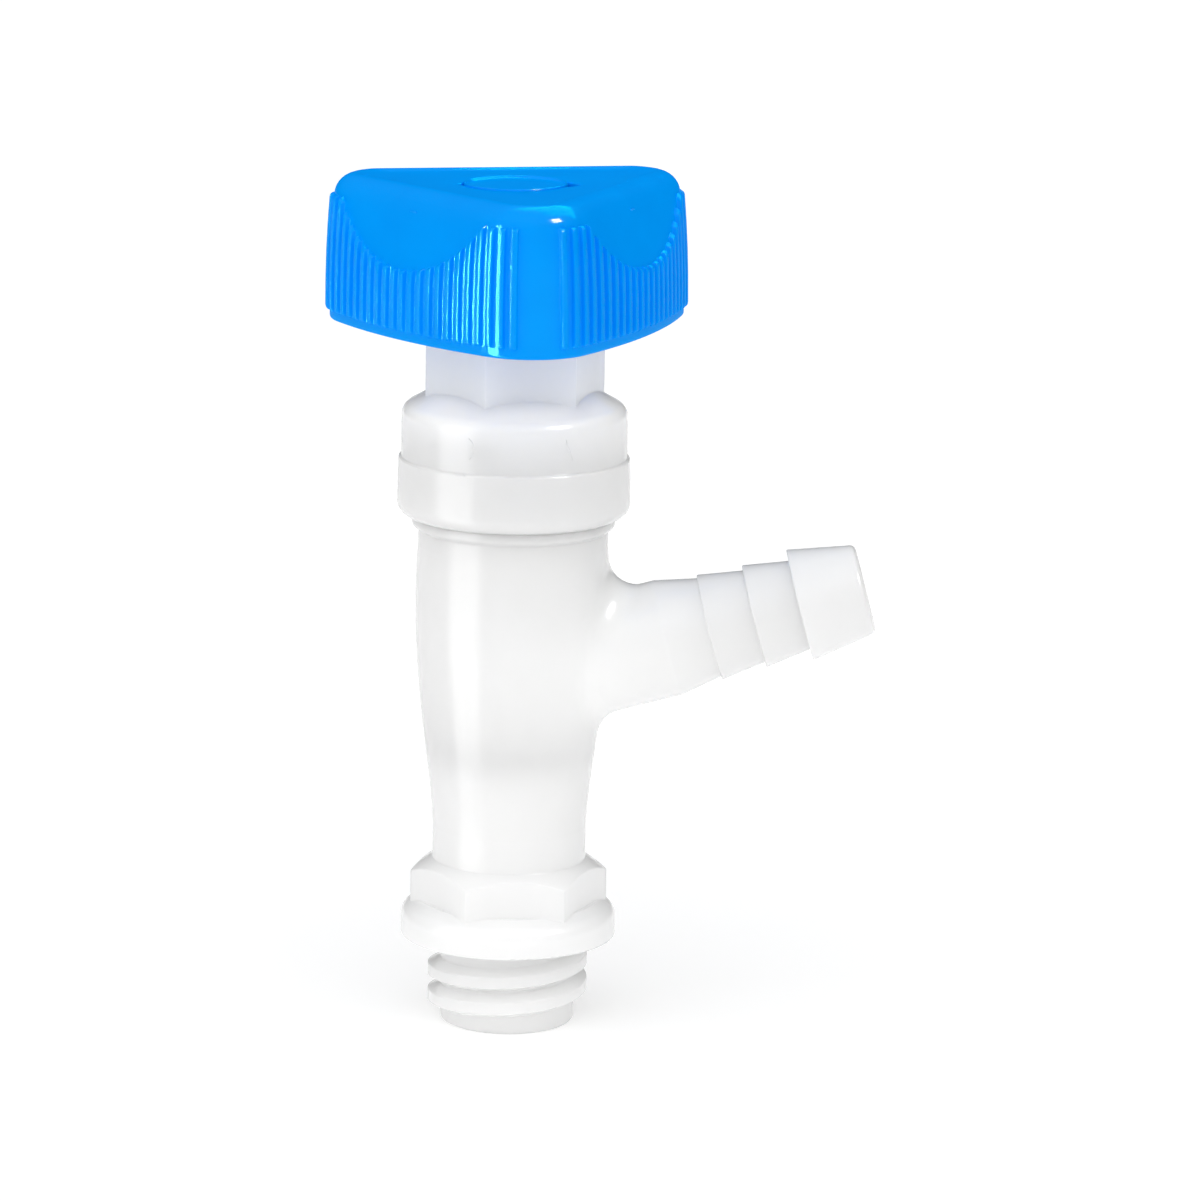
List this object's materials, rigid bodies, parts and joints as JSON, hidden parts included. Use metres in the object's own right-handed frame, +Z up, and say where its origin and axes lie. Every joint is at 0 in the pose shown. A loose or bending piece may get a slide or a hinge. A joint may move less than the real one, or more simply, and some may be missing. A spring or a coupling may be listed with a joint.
{
  "type": "drain tap",
  "caption": "Plastic drain tap with a threaded spigot, an angled barbed hose spout, a hexagonal bonnet and a rising spindle turned by a three-lobed ribbed handle.",
  "frame": {"origin": "centre of the flange's underside seal face, on the spindle's axis", "axes": "+Z up the spindle towards the handle, +X on the spout's side"},
  "size_m": [0.0676, 0.0426, 0.1044],
  "materials": {
    "natural_polyethylene": "milky translucent moulded polyethylene, smooth",
    "natural_polypropylene": "milky translucent moulded polypropylene",
    "blue_plastic": "opaque azure moulded polypropylene, satin gloss",
    "white_acetal": "white acetal, smooth",
    "black_rubber": "black nitrile rubber",
    "stainless_steel": "stainless steel"
  },
  "bodies": {
    "tap_body": {"valve_body": "natural_polyethylene", "bonnet": "natural_polyethylene", "bonnet_gasket": "black_rubber", "gland_bush": "white_acetal", "gland_o_ring_lower": "black_rubber", "gland_o_ring_upper": "black_rubber"},
    "plug": {"valve_plug": "natural_polypropylene", "swivel_clip": "white_acetal", "seat_seal": "black_rubber", "plug_o_ring": "black_rubber"},
    "spindle": {"spindle": "natural_polypropylene", "handle": "blue_plastic", "handle_washer": "stainless_steel", "handle_screw": "stainless_steel", "handle_cap": "blue_plastic"}
  },
  "joints": [
    {"name": "plug_lift", "type": "slide", "parent": "tap_body", "child": "plug", "axis": [0, 0, 1], "range_m": [0, 0.00526]},
    {"name": "handle_turn", "type": "hinge", "parent": "plug", "child": "spindle", "pos_m": [0, 0, 0.07], "axis": [0, 0, 1], "range_deg": [0, 630]}
  ],
  "couplings": [
    {"joint": "plug_lift", "follows": "handle_turn", "m_per_rad": 0.00047746}
  ]
}
